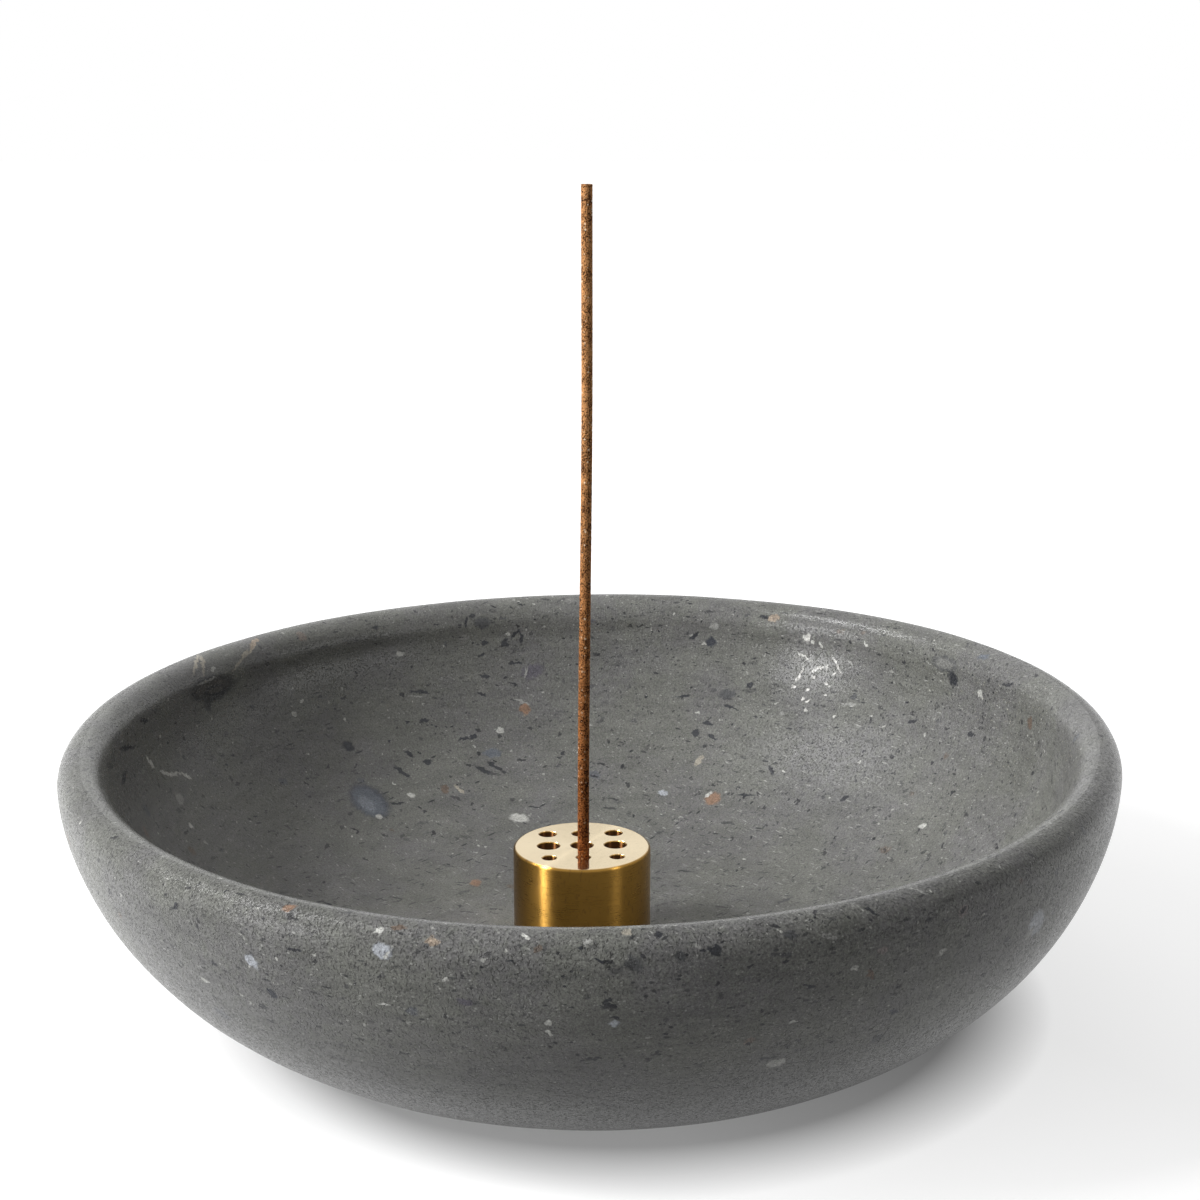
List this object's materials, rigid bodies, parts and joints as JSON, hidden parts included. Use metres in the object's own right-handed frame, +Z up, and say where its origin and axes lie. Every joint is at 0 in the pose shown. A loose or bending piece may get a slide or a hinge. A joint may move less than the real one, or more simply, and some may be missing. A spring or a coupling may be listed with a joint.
{
  "type": "incense holder",
  "caption": "Dark stone incense bowl with a hand-worked rim, a loose round brass stick holder on its floor and an incense stick standing in it.",
  "frame": {"origin": "middle of the bowl's flat base, on the surface it stands on", "axes": "+Z up along the bowl's axis; +Y away from a viewer in front, +X to that viewer's right"},
  "size_m": [0.1505, 0.1596, 0.1167],
  "materials": {
    "stone": "semi-polished dark grey stone with small pebbles, flecks and pits",
    "brass": "turned brass, satin side and polished top",
    "incense": "matt granular incense paste, extruded and dried"
  },
  "bodies": {
    "bowl": {"bowl": "stone"},
    "holder": {"stick_holder": "brass"},
    "stick": {"incense_stick": "incense"}
  },
  "joints": [
    {"name": "holder_lift", "type": "slide", "parent": "bowl", "child": "holder", "axis": [0, 0, 1], "range_m": [0, 0.045]},
    {"name": "stick_pull", "type": "slide", "parent": "holder", "child": "stick", "axis": [0, 0, 1], "range_m": [0, 0.02]}
  ]
}
